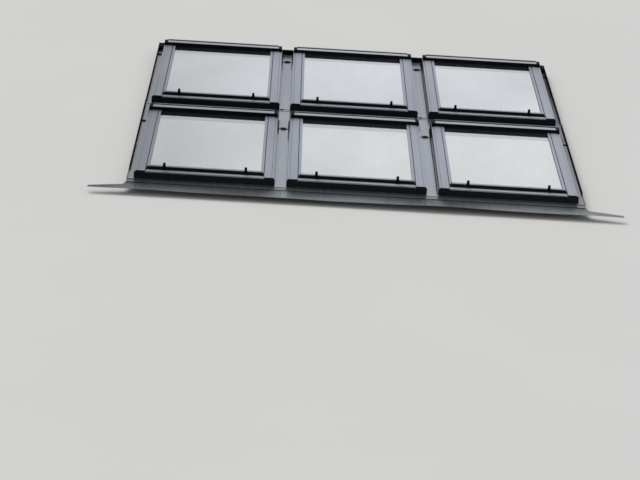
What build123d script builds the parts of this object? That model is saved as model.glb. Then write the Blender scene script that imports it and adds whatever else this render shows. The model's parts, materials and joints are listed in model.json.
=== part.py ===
"""A bank of six centre-pivot roof windows, two rows of three, in one shared flashing.

The bank lies flat: +X runs across the slope, +Y up the slope and +Z square out of the roof.
The origin is the centre of the bank, at the underside of the timber frames. Millimetres.
"""

import os
from math import hypot

from build123d import *

# Layout of the bank
columns = 3
row_names = ("lower", "upper")
frame_width = 942.0
frame_length = 1398.0
column_gap = 100.0
row_gap = 250.0

# Clearances
seat = 0.3
sash_gap = 3.0
cover_gap = 5.0

# Timber
frame_bar = 37.0
frame_depth = 115.0
timber_chamfer = 5.0
sash_bar = 44.0
sash_bottom_bar = 38.0
sash_top_bar = 50.0
sash_foot = 46.0
rebate_width = 15.0
shoulder_drop = 4.0

# Glazing
glass_drop = 7.0
pane_thickness = 4.0
pane_space = 16.0
pane_play = 4.0
spacer_width = 8.0
bed_height = 3.0
bead_height = 3.0
bead_width = 4.0
gap_seal_height = 4.0

# Covers of folded sheet
cover_sheet = 1.6
sight_lip = 4.4
sash_cover_rise = 8.0
cover_leg = 42.0
cover_step = 3.0
cover_step_width = 17.0
inner_leg = 11.0
ledge_fall = 1.0
ledge_setback = 5.0
front_cover_overhang = 7.0
front_cover_bevel = 14.0

# Black glazing bar along the foot of the glass
bar_front = 47.0
bar_rise = 23.0
bar_lean = 2.0
bar_bevel = 14.0

# Hooks on the glazing bar
hook_offset = 279.0
hook_width = 18.0
hook_height = 30.0
hook_thickness = 4.0
hook_tip = 7.0

# Hood over the head of each frame, in two grey sheets with a black groove between them
hood_rise = 31.5
hood_fall = 1.0
hood_inset = 24.0
hood_front_depth = 57.0
hood_leg = 67.0
groove_width = 24.0
groove_depth = 10.0
groove_wall = 2.0
nose_depth = 9.0
nose_bend = 4.0
cap_width = 26.0
cap_margin = 3.0
cap_bend = 10.0
cap_overrun = 8.0
cap_drop = 8.0

# Flashing
flashing_sheet = 1.5
pan_drop = 57.0
angle_drop = 20.0
angle_foot = 9.5
side_reach = 57.0
side_upturn = 12.0
joint_setback = 30.0
joint_lap = 60.0
apron_lap = 20.0
head_reach = 95.0
head_upturn = 16.0

# Rubber seals: strips in the side gutters, plugs and dams at the gutter heads
seal_width = 6.0
seal_drop = 30.0
seal_overrun = 60.0
dam_setback = 20.0
dam_width = 84.0
dam_depth = 14.0
dam_drop = 18.0
dam_bend = 5.0
plug_start = 60.0
plug_end = 30.0
plug_drop = 22.0
plug_bend = 18.0
cord_width = 5.0
cord_drop = 9.0

# Apron below the lower row
apron_flat = 30.0
apron_depth = 62.0
apron_fall = 3.0
wing_reach = 310.0
wing_end = 32.0
wing_depth = 78.0
wing_shoulder = 20.0
skirt_length = 117.0
skirt_sheet = 5.0
skirt_fall = 9.0
skirt_end_slope = 0.08
skirt_lap = 15.0

# Clips on the flashing
clip_from_head = 188.0
clip_body_width = 40.0
clip_body_length = 24.0
clip_height = 8.0
clip_wire_width = 6.0
clip_wire_height = 3.0
edge_clip_length = 30.0

# Corner pieces at the foot of the side flashings
corner_length = 145.0
corner_taper = 12.0

# Pivots, control bars and fixing brackets
pivot_length = 120.0
pivot_height = 44.0
pivot_drop = 35.0
pivot_bevel = 12.0
control_end = 14.0
control_width = 24.0
control_height = 12.0
control_drop = 12.0
post_width = 18.0
post_inset = 60.0
bracket_sheet = 2.5
bracket_from_end = 200.0
bracket_length = 64.0
bracket_reach = 40.0
bracket_drop = 33.0
bracket_height = 28.0
bracket_hole_radius = 3.25
bracket_hole_reach = 25.0
bracket_corner = 8.0

# Worked out from the sizes above
rows = len(row_names)
column_pitch = frame_width + column_gap
row_pitch = frame_length + row_gap
frame_half = frame_width / 2
bank_half = frame_half + column_pitch * (columns - 1) / 2
bank_length = frame_length * rows + row_gap * (rows - 1)
apron_reach = apron_depth + skirt_length
first_foot = (apron_reach - bank_length - head_reach) / 2
last_head = first_foot + bank_length
column_centres = [column_pitch * (i - (columns - 1) / 2) for i in range(columns)]
channel_centres = [x + column_pitch / 2 for x in column_centres[:-1]]
row_feet = [first_foot + row_pitch * j for j in range(rows)]

sash_half = frame_half - frame_bar - sash_gap
sash_inner = sash_half - sash_bar
sash_low = frame_bar + sash_gap
sash_high = frame_length - sash_low
light_low = sash_low + sash_bottom_bar
light_high = sash_high - sash_top_bar
rebate_edge = sash_inner + rebate_width
rebate_low = light_low - rebate_width
rebate_high = light_high + rebate_width
unit_height = 2 * pane_thickness + pane_space
glass_level = frame_depth - glass_drop
rebate_level = glass_level - unit_height - bed_height
shoulder_level = glass_level - shoulder_drop

sight_half = sash_inner - sight_lip
sight_low = light_low + sight_lip
sight_high = light_high - sight_lip
bead_level = glass_level + bead_height
sash_cover_level = glass_level + sash_cover_rise
side_cover_level = frame_depth + seat + cover_sheet
head_rail_level = side_cover_level - inner_leg - seat
cover_leg_level = side_cover_level - cover_leg
ledge_level = glass_level
front_cover_level = ledge_level - cover_sheet - seat
front_rail_level = front_cover_level - cover_sheet - seat
angle_reach = seat + flashing_sheet
cover_reach = angle_reach + seat + cover_sheet
cover_step_edge = frame_half + cover_reach - cover_step_width
bar_level = glass_level + bar_rise
pan_level = frame_depth - pan_drop
lap_rise = flashing_sheet + seat
row_levels = [pan_level + lap_rise * j for j in range(rows)]
apron_level = pan_level - lap_rise
head_level = row_levels[-1]
front_cover_bottom = row_levels[-1] + seat
seal_faces = [bank_half + side_reach - angle_reach - seal_width - lap_rise * j for j in range(rows)]
hood_foot = side_cover_level + seat
hood_front = sight_high
hood_level = glass_level + hood_rise
hood_back_level = hood_level - hood_fall
groove_front = hood_front + hood_front_depth
groove_back = groove_front + groove_width
angle_top = frame_depth - angle_drop
seal_level = frame_depth - seal_drop
pivot_level = frame_depth - pivot_drop
bracket_level = pan_level - bracket_drop
bracket_top = bracket_level + bracket_height


def outline_face(points, plane):
    """Flat face on the plane with straight edges through the points."""
    return plane * make_face(Polyline(*points, close=True))


def bar_across(points, x_low, x_high):
    """Bar along X, from its (y, z) section."""
    return extrude(outline_face(points, Plane.YZ.offset(x_low)), x_high - x_low, dir=(1, 0, 0))


def bar_up(points, y_low, y_high):
    """Bar along Y, from its (x, z) section."""
    return extrude(outline_face(points, Plane.XZ.offset(-y_low)), y_high - y_low, dir=(0, 1, 0))


def block(x_low, x_high, y_low, y_high, z_low, z_high):
    """Rectangular block between two corners."""
    middle = ((x_low + x_high) / 2, (y_low + y_high) / 2, (z_low + z_high) / 2)
    return Pos(*middle) * Box(x_high - x_low, y_high - y_low, z_high - z_low)


def ring(x_half, y_low, y_high, width, z_low, z_high):
    """Rectangular ring whose outer edge is given, centred on X."""
    outer = block(-x_half, x_half, y_low, y_high, z_low, z_high)
    inner_half = x_half - width
    return outer - block(-inner_half, inner_half, y_low + width, y_high - width, z_low, z_high)


def folded(path, thickness):
    """Section of a sheet folded along the path, with its thickness on the path's right."""
    normals = []
    for (a, b), (c, d) in zip(path, path[1:]):
        run = hypot(c - a, d - b)
        normals.append(((d - b) / run, (a - c) / run))
    inner = []
    for point, before, after in zip(path, normals[:1] + normals, normals + normals[-1:]):
        share = thickness / (1 + before[0] * after[0] + before[1] * after[1])
        inner.append((point[0] + share * (before[0] + after[0]), point[1] + share * (before[1] + after[1])))
    return path + inner[::-1]


def both_sides(solid):
    """The solid and its mirror image across the window's centre line."""
    return [solid, mirror(solid, Plane.YZ)]


def at_windows(solids, foot):
    """Copies of one window's solids, at every column of the row that starts at the foot."""
    return [Pos(x, foot, 0) * solid for x in column_centres for solid in solids]


def frame_stiles():
    """Side bars of the frame, lowered along their outer edge under the step in the covers."""
    step = cover_step_edge - cover_sheet - seat
    section = [
        (sash_half + sash_gap + timber_chamfer, 0),
        (frame_half, 0),
        (frame_half, frame_depth - cover_step),
        (step, frame_depth - cover_step),
        (step, frame_depth),
        (sash_half + sash_gap, frame_depth),
        (sash_half + sash_gap, timber_chamfer),
    ]
    return both_sides(bar_up(section, 0, frame_length))


def frame_rails():
    inner = sash_half + sash_gap
    foot = [
        (0, 0),
        (frame_bar - timber_chamfer, 0),
        (frame_bar, timber_chamfer),
        (frame_bar, front_rail_level),
        (0, front_rail_level),
    ]
    head = [
        (frame_length, 0),
        (frame_length, head_rail_level),
        (frame_length - frame_bar, head_rail_level),
        (frame_length - frame_bar, timber_chamfer),
        (frame_length - frame_bar + timber_chamfer, 0),
    ]
    return [bar_across(foot, -inner, inner), bar_across(head, -inner, inner)]


def rebated(outer, inner, rebate, shoulder):
    """Section of a sash bar with its glazing rebate, between two edges along one axis."""
    turn = timber_chamfer if inner < outer else -timber_chamfer
    return [
        (inner + turn, sash_foot),
        (outer, sash_foot),
        (outer, shoulder),
        (rebate, shoulder),
        (rebate, rebate_level),
        (inner, rebate_level),
        (inner, sash_foot + timber_chamfer),
    ]


def sash_stiles():
    section = rebated(sash_half, sash_inner, rebate_edge, shoulder_level)
    return both_sides(bar_up(section, sash_low, sash_high))


def sash_rails():
    foot = rebated(sash_low, light_low, rebate_low, ledge_level - cover_sheet - seat)
    head = rebated(sash_high, light_high, rebate_high, shoulder_level)
    return [bar_across(section, -sash_inner, sash_inner) for section in (foot, head)]


def pane(z_low, z_high):
    edge = rebate_edge - pane_play
    return block(-edge, edge, rebate_low + pane_play, rebate_high - pane_play, z_low, z_high)


def outer_pane():
    return [pane(glass_level - pane_thickness, glass_level)]


def inner_pane():
    underside = glass_level - unit_height
    return [pane(underside, underside + pane_thickness)]


def pane_spacer():
    edge = rebate_edge - pane_play
    top = glass_level - pane_thickness
    return [ring(edge, rebate_low + pane_play, rebate_high - pane_play, spacer_width, top - pane_space, top)]


def glazing_gaskets():
    """Bed under the glass, bead over it, and strips beside the sash covers."""
    bed_edge = rebate_edge - pane_play
    bed = ring(
        bed_edge,
        rebate_low + pane_play,
        rebate_high - pane_play,
        spacer_width,
        rebate_level,
        rebate_level + bed_height,
    )
    bead = ring(
        sight_half + bead_width,
        sight_low - bead_width,
        sight_high + bead_width,
        bead_width,
        glass_level,
        bead_level,
    )
    strip_base = shoulder_level + seat
    strip = block(
        rebate_edge + seat,
        rebate_edge + cover_gap - seat,
        sash_low + seat,
        sash_high - seat,
        strip_base,
        strip_base + gap_seal_height,
    )
    return [bed, bead] + both_sides(strip)


def frame_side_covers():
    """Covers of the frame's sides, with a shallow step along their outer edges."""
    inner = rebate_edge + cover_gap
    outer = frame_half + cover_reach
    path = [
        (inner, side_cover_level - inner_leg),
        (inner, side_cover_level),
        (cover_step_edge, side_cover_level),
        (cover_step_edge + cover_step, side_cover_level - cover_step),
        (outer, side_cover_level - cover_step),
        (outer, cover_leg_level),
    ]
    front = cover_sheet + seat - cover_reach
    return both_sides(bar_up(folded(path, cover_sheet), front, frame_length))


def sash_covers():
    """Covers along both sides of the glass and across its head."""
    side = [
        (sight_half, bead_level),
        (sight_half, sash_cover_level),
        (rebate_edge, sash_cover_level),
        (rebate_edge, shoulder_level),
    ]
    front = sight_high + bead_width + seat
    head = [
        (front, bead_level),
        (front, sash_cover_level),
        (rebate_high, sash_cover_level),
        (rebate_high, shoulder_level),
    ]
    sides = both_sides(bar_up(folded(side, cover_sheet), sight_low + seat, front - seat))
    return sides + [bar_across(folded(head, cover_sheet), -rebate_edge, rebate_edge)]


def sash_foot_cover():
    """Sloping ledge in front of the glazing bar."""
    path = [
        (ledge_setback, ledge_level),
        (bar_front - seat, ledge_level + ledge_fall),
    ]
    return [bar_across(folded(path, cover_sheet), -rebate_edge, rebate_edge)]


def glazing_bar():
    """Solid bar that holds the foot of the glass, with its ends cut on a bevel."""
    foot = ledge_level - cover_sheet
    section = [
        (bar_front, foot),
        (bar_front, ledge_level + ledge_fall),
        (bar_front + bar_lean, bar_level),
        (sight_low, bar_level),
        (sight_low, bead_level),
        (rebate_low + pane_play - seat, bead_level),
        (rebate_low + pane_play - seat, foot),
    ]
    bar = bar_across(section, -rebate_edge, rebate_edge)
    shape = [
        (-rebate_edge, foot),
        (rebate_edge, foot),
        (rebate_edge, sash_cover_level),
        (rebate_edge - bar_bevel, bar_level),
        (bar_bevel - rebate_edge, bar_level),
        (-rebate_edge, sash_cover_level),
    ]
    return [bar & bar_up(shape, 0, frame_length)]


def frame_foot_cover():
    """Front cover of the frame's foot, taller over the stiles, with a flange under the ledge."""
    half = frame_half + cover_reach + front_cover_overhang
    inner = rebate_edge + cover_gap
    front = [
        (-half, front_cover_bottom),
        (half, front_cover_bottom),
        (half, side_cover_level - front_cover_bevel),
        (half - front_cover_bevel, side_cover_level),
        (inner, side_cover_level),
        (inner, front_cover_level),
        (-inner, front_cover_level),
        (-inner, side_cover_level),
        (front_cover_bevel - half, side_cover_level),
        (-half, side_cover_level - front_cover_bevel),
    ]
    plate = bar_up(front, -cover_reach, cover_sheet - cover_reach)
    flange = block(
        -inner,
        inner,
        cover_sheet - cover_reach,
        frame_bar,
        front_cover_level - cover_sheet,
        front_cover_level,
    )
    return [plate + flange]


def front_edge(bar):
    """The edge along X at the front of the bar's top."""
    return bar.edges().filter_by(Axis.X).group_by(Axis.Z)[-1].sort_by(Axis.Y)[0]


def hood():
    """Grey sheets of the hood: the front one behind the nose, the other down the frame's back."""
    front = hood_front + nose_depth + seat
    back = frame_length + cover_reach
    front_path = [
        (front, hood_level),
        (groove_front, hood_level),
        (groove_front, hood_level - groove_depth),
    ]
    back_path = [
        (groove_back, hood_back_level),
        (back, hood_back_level),
        (back, hood_level - hood_leg),
    ]
    half = frame_half - hood_inset
    return [bar_across(folded(path, cover_sheet), -half, half) for path in (front_path, back_path)]


def hood_nose():
    """Black body of the hood: its nose, the lip down to the glass, the groove and the end caps."""
    half = frame_half - hood_inset
    front = [
        (hood_front, hood_foot),
        (hood_front + nose_depth, hood_foot),
        (hood_front + nose_depth, hood_level),
        (hood_front, hood_level),
    ]
    nose = fillet(front_edge(bar_across(front, -half - seat, half + seat)), nose_bend)
    lip_half = sight_half - seat
    lip_top = hood_foot + nose_bend
    nose += block(-lip_half, lip_half, hood_front, hood_front + bead_width, bead_level + seat, lip_top)
    floor = hood_level - groove_depth
    groove = [
        (groove_front + seat, floor),
        (groove_back - seat, floor),
        (groove_back - seat, hood_back_level),
        (groove_back - seat - groove_wall, hood_back_level),
        (groove_back - seat - groove_wall, floor + groove_wall),
        (groove_front + seat, floor + groove_wall),
    ]
    nose += bar_across(groove, -half - seat, half + seat)
    back = frame_length + cover_reach
    end = [
        (hood_front - cap_margin, hood_foot),
        (back, hood_foot),
        (back, hood_back_level - cap_drop),
        (groove_front + cap_overrun, hood_level + cap_margin),
        (hood_front - cap_margin, hood_level + cap_margin),
    ]
    cap = fillet(front_edge(bar_across(end, half + seat, half + cap_width)), cap_bend)
    return [nose + cap + mirror(cap, Plane.YZ)]


def hooks():
    """Black hooks on the glazing bar, with a strap down its front."""
    front = bar_front + bar_lean
    top = bar_level + hook_height
    strap = bar_front - seat
    outline = [
        (strap - hook_thickness, ledge_level + ledge_fall + seat),
        (strap, ledge_level + ledge_fall + seat),
        (front - seat, bar_level + seat),
        (front + hook_thickness, bar_level + seat),
        (front + hook_thickness, top - hook_thickness),
        (front + hook_tip, top - hook_thickness),
        (front + hook_tip, top),
        (front - seat - hook_thickness, top),
    ]
    half = hook_width / 2
    return both_sides(bar_across(outline, hook_offset - half, hook_offset + half))


def pivots():
    low = sash_half + seat
    high = sash_half + sash_gap - seat
    middle, half = frame_length / 2, pivot_length / 2
    top, foot = pivot_level + pivot_height / 2, pivot_level - pivot_height / 2
    outline = [
        (middle - half, foot),
        (middle + half, foot),
        (middle + half, top - pivot_bevel),
        (middle + half - pivot_bevel, top),
        (middle - half + pivot_bevel, top),
        (middle - half, top - pivot_bevel),
    ]
    return both_sides(bar_across(outline, low, high))


def control_bar():
    """Bar under the sash head, on two posts."""
    half = sash_inner - control_end
    middle = (light_high + sash_high) / 2
    top = sash_foot - control_drop
    y_low, y_high = middle - control_width / 2, middle + control_width / 2
    bar = block(-half, half, y_low, y_high, top - control_height, top)
    for x in (post_inset - half, half - post_inset):
        bar += Pos(x, middle, top + control_drop / 2) * Box(post_width, post_width, control_drop)
    return [bar]


def bracket():
    """Angle bracket on the right-hand stile, centred on Y at its origin."""
    half = bracket_length / 2
    path = [
        (frame_half + bracket_reach, bracket_level),
        (frame_half, bracket_level),
        (frame_half, bracket_top),
    ]
    angle = bar_up(folded(path, bracket_sheet), -half, half)
    free_corners = angle.edges().filter_by(Axis.Z).group_by(Axis.X)[-1]
    angle = chamfer(free_corners, bracket_corner)
    spot = Pos(frame_half + bracket_hole_reach, 0, bracket_level + bracket_sheet / 2)
    return angle - spot * Cylinder(bracket_hole_radius, 2 * bracket_sheet)


def brackets():
    spots = (bracket_from_end, frame_length - bracket_from_end)
    return [solid for y in spots for solid in both_sides(Pos(0, y, 0) * bracket())]


def angle_section(face, level, top):
    """Section of an angle that stands against a face at the right of the frame."""
    path = [
        (face + seat + angle_foot, level + seat),
        (face + seat, level + seat),
        (face + seat, top),
    ]
    return folded(path, flashing_sheet)


def frame_angles(j):
    """Four angles round each frame of the row, their feet on the flashing beside it."""
    sides = both_sides(bar_up(angle_section(frame_half, row_levels[j], angle_top), 0, frame_length))
    head = bar_across(angle_section(frame_length, row_levels[j], angle_top), -frame_half, frame_half)
    foot_section = [(-y, z) for y, z in angle_section(0, row_levels[j] - lap_rise, angle_top)]
    foot = bar_across(foot_section, -frame_half, frame_half)
    return sides + [head, foot]


def row_run(j):
    """Start and end along Y of the row's length of channel or side flashing."""
    foot = row_feet[j]
    start = foot - apron_lap if j == 0 else foot + joint_setback - joint_lap
    end = last_head if j == rows - 1 else row_feet[j + 1] + joint_setback
    return start, end


def channel_pans(j):
    """Flat pans between the columns. Each row laps over the one below it."""
    half = column_gap / 2 - seat
    level = row_levels[j]
    start, end = row_run(j)
    pan = block(-half, half, start, end, level - flashing_sheet, level)
    return [Pos(x, 0, 0) * pan for x in channel_centres]


def side_flashing(side):
    """Pans beside the bank, with an upturned outer edge that nests at the lap."""
    solids = []
    for j, level in enumerate(row_levels):
        inner = bank_half + seat
        outer = bank_half + side_reach - j * lap_rise
        path = [
            (outer, level + side_upturn),
            (outer, level - flashing_sheet),
            (inner, level - flashing_sheet),
        ]
        flashing = bar_up(folded(path, flashing_sheet), *row_run(j))
        solids.append(flashing if side > 0 else mirror(flashing, Plane.YZ))
    return solids


def gutter_seals():
    """Rubber strips in the side gutters, plugs and dams at the heads, and cords beside the covers."""
    seals = []
    for j, level in enumerate(row_levels):
        start, end = row_run(j)
        start += joint_lap if j else apron_lap + corner_length + seat
        end += seal_overrun if j == rows - 1 else -joint_lap
        strip = block(seal_faces[j], seal_faces[j] + seal_width, start, end, level + seat, seal_level)
        seals += both_sides(strip)
    dam_front = last_head + dam_setback
    half = dam_width / 2
    base = head_level + seat
    dam = block(-half, half, dam_front, dam_front + dam_depth, base, frame_depth - dam_drop)
    dam = fillet(front_edge(dam), dam_bend)
    seals += [Pos(x, 0, 0) * dam for x in channel_centres]
    plug_x = (bank_half + seat + angle_foot + seat, seal_faces[-1] - seat)
    plug_y = (last_head - plug_start, last_head + plug_end)
    plug = fillet(front_edge(block(*plug_x, *plug_y, base, frame_depth - plug_drop)), plug_bend)
    seals += both_sides(plug)
    face = frame_half + cover_reach + seat
    for level, foot in zip(row_levels, row_feet):
        base = level + lap_rise + seat
        low = frame_length - clip_from_head + clip_body_length / 2
        cord = block(face, face + cord_width, low, frame_length, base, frame_depth - cord_drop)
        seals += at_windows(both_sides(cord), foot)
    return seals


def row_pans():
    """Flat pans between the rows."""
    pans = []
    for level, foot in zip(row_levels[:-1], row_feet[:-1]):
        low, high = foot + frame_length + seat, foot + row_pitch - seat
        pan = block(-frame_half, frame_half, low, high, level - flashing_sheet, level)
        pans += [Pos(x, 0, 0) * pan for x in column_centres]
    return pans


def head_flashing():
    """Flat sheet behind the upper frames, with its far edge turned up."""
    half = bank_half + side_reach
    low = last_head + seat
    high = last_head + head_reach
    floor = head_level - flashing_sheet
    path = [(high, head_level + head_upturn), (high, floor), (low, floor)]
    return [bar_across(folded(path, flashing_sheet), -half, half)]


def apron():
    """Smooth sheet in front of the lower frames, flat first and then falling to the skirt."""
    half = bank_half + side_reach
    path = [
        (-apron_depth, apron_level - apron_fall),
        (-apron_flat, apron_level),
        (-seat, apron_level),
    ]
    return [Pos(0, first_foot, 0) * bar_across(folded(path, flashing_sheet), -half, half)]


def apron_skirt():
    """Pleated skirt, as one curved sheet as thick as its pleats are deep, with low wings."""
    half = bank_half + wing_reach
    slope = apron_fall / (apron_depth - apron_flat)
    top = apron_level - flashing_sheet * hypot(1, slope) - seat
    head = (skirt_lap - apron_depth, top - slope * (apron_depth - skirt_lap - apron_flat))
    turn = (-apron_depth, top - apron_fall)
    foot = (-apron_reach, top - apron_fall - skirt_fall)
    edges = []
    for drop in (0, skirt_sheet):
        low_head, low_turn, low_foot = [(y, z - drop) for y, z in (head, turn, foot)]
        edges.append(Line(low_head, low_turn))
        edges.append(Spline(low_turn, low_foot, tangents=((-1, -slope), (-1, -skirt_end_slope))))
    ends = [Line(edges[i] @ t, edges[i + 2] @ t) for i, t in ((0, 0), (1, 1))]
    section = Plane.YZ.offset(-half) * make_face(edges + ends)
    skirt = extrude(section, 2 * half, dir=(1, 0, 0))
    inner = bank_half + side_reach
    side = [
        (half, -apron_reach),
        (half, wing_end - apron_reach),
        (inner + wing_shoulder, wing_depth - apron_reach),
        (inner, -apron_flat),
    ]
    plan = side + [(-x, y) for x, y in reversed(side)]
    outline = extrude(outline_face(plan, Plane.XY), apron_level, dir=(0, 0, 1))
    return [Pos(0, first_foot, 0) * (skirt & outline)]


def corner_pieces():
    """Tapered plates over the foot of each side flashing."""
    inner = bank_half + seat + angle_foot + seat
    outer = bank_half + side_reach - flashing_sheet - seat
    low, high = first_foot - apron_lap, first_foot + corner_length
    plan = [(inner, low), (outer, low), (outer, high), (inner + corner_taper, high)]
    level = row_levels[0] + seat
    face = outline_face(plan, Plane.XY.offset(level))
    return both_sides(extrude(face, flashing_sheet, dir=(0, 0, 1)))


def flashing_clips():
    """Channel clips on a cross wire, and edge clips in the side gutters."""
    clips = []
    wire_half = column_gap / 2 - seat - angle_foot - seat
    for level, foot, edge_high in zip(row_levels, row_feet, seal_faces):
        y = foot + frame_length - clip_from_head
        base = level + seat
        body = block(
            -clip_body_width / 2,
            clip_body_width / 2,
            y - clip_body_length / 2,
            y + clip_body_length / 2,
            base,
            base + clip_height,
        )
        body = chamfer(body.edges().filter_by(Axis.Z), clip_body_length / 3)
        wire_y = (y - clip_wire_width / 2, y + clip_wire_width / 2)
        body += block(-wire_half, wire_half, *wire_y, base, base + clip_wire_height)
        clips += [Pos(x, 0, 0) * body for x in channel_centres]
        edge_low = edge_high - edge_clip_length
        clips += both_sides(block(edge_low, edge_high - seat, *wire_y, base, base + clip_height))
    return clips


def save(name, solids):
    """Write the solids as one STEP file under the sub-part's name."""
    shape = solids[0] if len(solids) == 1 else Compound(children=solids)
    export_step(shape, f"parts/{name}.step")


def main():
    os.makedirs("parts", exist_ok=True)
    row_pieces = {
        "frame_stiles": frame_stiles(),
        "frame_rails": frame_rails(),
        "sash_stiles": sash_stiles(),
        "sash_rails": sash_rails(),
        "outer_panes": outer_pane(),
        "inner_panes": inner_pane(),
        "frame_side_covers": frame_side_covers(),
        "sash_covers": sash_covers(),
        "sash_foot_covers": sash_foot_cover(),
        "glazing_bars": glazing_bar(),
        "frame_foot_covers": frame_foot_cover(),
        "hoods": hood(),
        "hood_noses": hood_nose(),
    }
    for j, (row, foot) in enumerate(zip(row_names, row_feet)):
        for piece, solids in row_pieces.items():
            save(f"{row}_{piece}", at_windows(solids, foot))
        save(f"{row}_frame_angles", at_windows(frame_angles(j), foot))
        save(f"{row}_channel_pans", channel_pans(j))
    bank_pieces = {
        "pane_spacers": pane_spacer(),
        "glazing_gaskets": glazing_gaskets(),
        "cover_hooks": hooks(),
        "pivot_hinges": pivots(),
        "control_bars": control_bar(),
        "mounting_brackets": brackets(),
    }
    for piece, solids in bank_pieces.items():
        save(piece, [solid for foot in row_feet for solid in at_windows(solids, foot)])
    save("left_side_flashing", side_flashing(-1))
    save("right_side_flashing", side_flashing(1))
    save("gutter_seals", gutter_seals())
    save("row_pans", row_pans())
    save("head_flashing", head_flashing())
    save("apron_flashing", apron())
    save("apron_skirt", apron_skirt())
    save("corner_pieces", corner_pieces())
    save("flashing_clips", flashing_clips())


main()
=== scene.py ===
# %% [markdown]
# # A bank of six roof windows
#
# Two rows of three centre-pivot windows share one flashing. The solid parts come from the packed
# CAD model, already in place and in metres. This lesson gives them finishes, adds the fine forms
# that the solids leave out, and sets up light and a camera.

import json
import math

import bpy
import numpy as np
from mathutils import Euler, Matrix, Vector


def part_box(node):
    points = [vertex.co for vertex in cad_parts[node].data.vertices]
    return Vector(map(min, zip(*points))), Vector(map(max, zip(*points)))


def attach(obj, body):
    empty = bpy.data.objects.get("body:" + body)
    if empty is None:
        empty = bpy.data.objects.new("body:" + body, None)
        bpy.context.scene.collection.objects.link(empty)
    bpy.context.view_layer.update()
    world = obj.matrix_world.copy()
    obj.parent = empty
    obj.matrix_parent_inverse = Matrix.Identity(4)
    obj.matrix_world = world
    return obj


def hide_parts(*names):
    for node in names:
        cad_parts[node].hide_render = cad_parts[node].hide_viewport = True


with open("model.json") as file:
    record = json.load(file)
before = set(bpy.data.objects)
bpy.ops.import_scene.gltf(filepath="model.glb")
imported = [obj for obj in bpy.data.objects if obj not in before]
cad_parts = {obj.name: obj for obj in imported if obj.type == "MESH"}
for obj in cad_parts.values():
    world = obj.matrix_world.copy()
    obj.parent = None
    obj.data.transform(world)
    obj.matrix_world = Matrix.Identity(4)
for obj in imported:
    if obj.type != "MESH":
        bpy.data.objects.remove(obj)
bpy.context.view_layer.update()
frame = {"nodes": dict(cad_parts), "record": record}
nodes = frame["nodes"]
subparts = frame["record"]["subparts"]
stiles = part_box("lower_frame_stiles")
frame_width = 0.942
frame_length = stiles[1].y - stiles[0].y
column_pitch = (stiles[1].x - stiles[0].x - frame_width) / 2
row_feet = {row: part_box(row + "_frame_stiles")[0].y for row in ("lower", "upper")}
bank_foot = row_feet["lower"]
print(len(nodes), "solid parts")
print("columns", round(column_pitch, 3), "apart, rows", round(row_feet["upper"] - bank_foot, 3), "apart")

# %% [markdown]
# ## The camera
#
# The photograph was taken from below and far away with a long lens, so the rows look nearly
# parallel. A camera could be placed by eye, but here its place and turn were worked out from the
# corners of the six panes, and they are given from the foot of the bank, where the timber starts.

# %% Camera
camera_across = -0.5320
camera_before_foot = -14.2791
camera_height = 5.3608
camera_turn = (68.270, -3.5176, 0.1726)
lens_mm = 125.28
sensor_mm = 36.0

camera_data = bpy.data.cameras.new("camera")
camera_data.sensor_width = sensor_mm
camera_data.lens = lens_mm
camera = bpy.data.objects.new("camera", camera_data)
camera.location = (camera_across, bank_foot + camera_before_foot, camera_height)
camera.rotation_euler = Euler([math.radians(a) for a in camera_turn], "XYZ")
bpy.context.scene.collection.objects.link(camera)
bpy.context.scene.camera = camera
print("camera at", [round(v, 3) for v in camera.location])

# %% [markdown]
# ## Helpers for node trees
#
# The overcast light and every finish are trees of nodes. Nodes could be placed and linked by hand
# in the shader editor. Written as small functions, a tree reads like a sum, and one function serves
# the light, the shared effects and the materials.

# %% Making, filling and linking nodes


def add(tree, kind, **settings):
    """New node in the tree, with its settings."""
    node = tree.nodes.new(kind)
    for setting, value in settings.items():
        setattr(node, setting, value)
    return node


def fill(node, **values):
    """Set a node's input sockets by name, where underscores stand for spaces."""
    for socket, value in values.items():
        node.inputs[socket.replace("_", " ")].default_value = value
    return node


def plug(tree, value, socket):
    """Link an output to the socket, or set the socket to a number or a colour."""
    if isinstance(value, bpy.types.NodeSocket):
        tree.links.new(value, socket)
    else:
        socket.default_value = value


# %% Sums and ranges from nodes


def joined(tree, operation, first, second=0.0):
    """Math node on outputs or numbers."""
    node = add(tree, "ShaderNodeMath", operation=operation)
    plug(tree, first, node.inputs[0])
    plug(tree, second, node.inputs[1])
    return node.outputs[0]


def ranged(tree, value, low, high, to_low, to_high):
    """Value moved from one range to another and held inside it. The ends may be outputs too."""
    node = add(tree, "ShaderNodeMapRange")
    sockets = ("Value", "From Min", "From Max", "To Min", "To Max")
    for socket, given_value in zip(sockets, (value, low, high, to_low, to_high)):
        plug(tree, given_value, node.inputs[socket])
    return node.outputs["Result"]


# %% [markdown]
# ## Light
#
# An overcast sky lights the windows evenly, with a soft key from above. A world colour gives the
# even part. The world looks white to the camera, to mirrors and through glass, while its light on
# the surfaces is set apart, by the Light Path node. One broad sun gives soft shadows. It is kept
# out of mirrors, because an overcast sky shows no bright disc in a pane.

# %% World
bpy.context.scene.view_settings.view_transform = "Standard"
white = (1.0, 1.0, 1.0, 1.0)
sky_on_surfaces = 0.50

world = bpy.data.worlds.new("overcast")
bpy.context.scene.world = world
world.use_nodes = True
sky_tree = world.node_tree
background = fill(sky_tree.nodes["Background"], Color=white)
rays = add(sky_tree, "ShaderNodeLightPath").outputs
seen = joined(sky_tree, "MAXIMUM", rays["Is Camera Ray"], rays["Is Glossy Ray"])
seen = joined(sky_tree, "MAXIMUM", seen, rays["Is Transmission Ray"])
brightness = ranged(sky_tree, seen, 0.0, 1.0, sky_on_surfaces, 1.0)
plug(sky_tree, brightness, background.inputs["Strength"])
print("sky on surfaces", sky_on_surfaces)

# %% Key light
key_strength = 1.9
key_spread = 40.0
key_turn = (-28.0, -22.0, 0.0)

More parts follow.
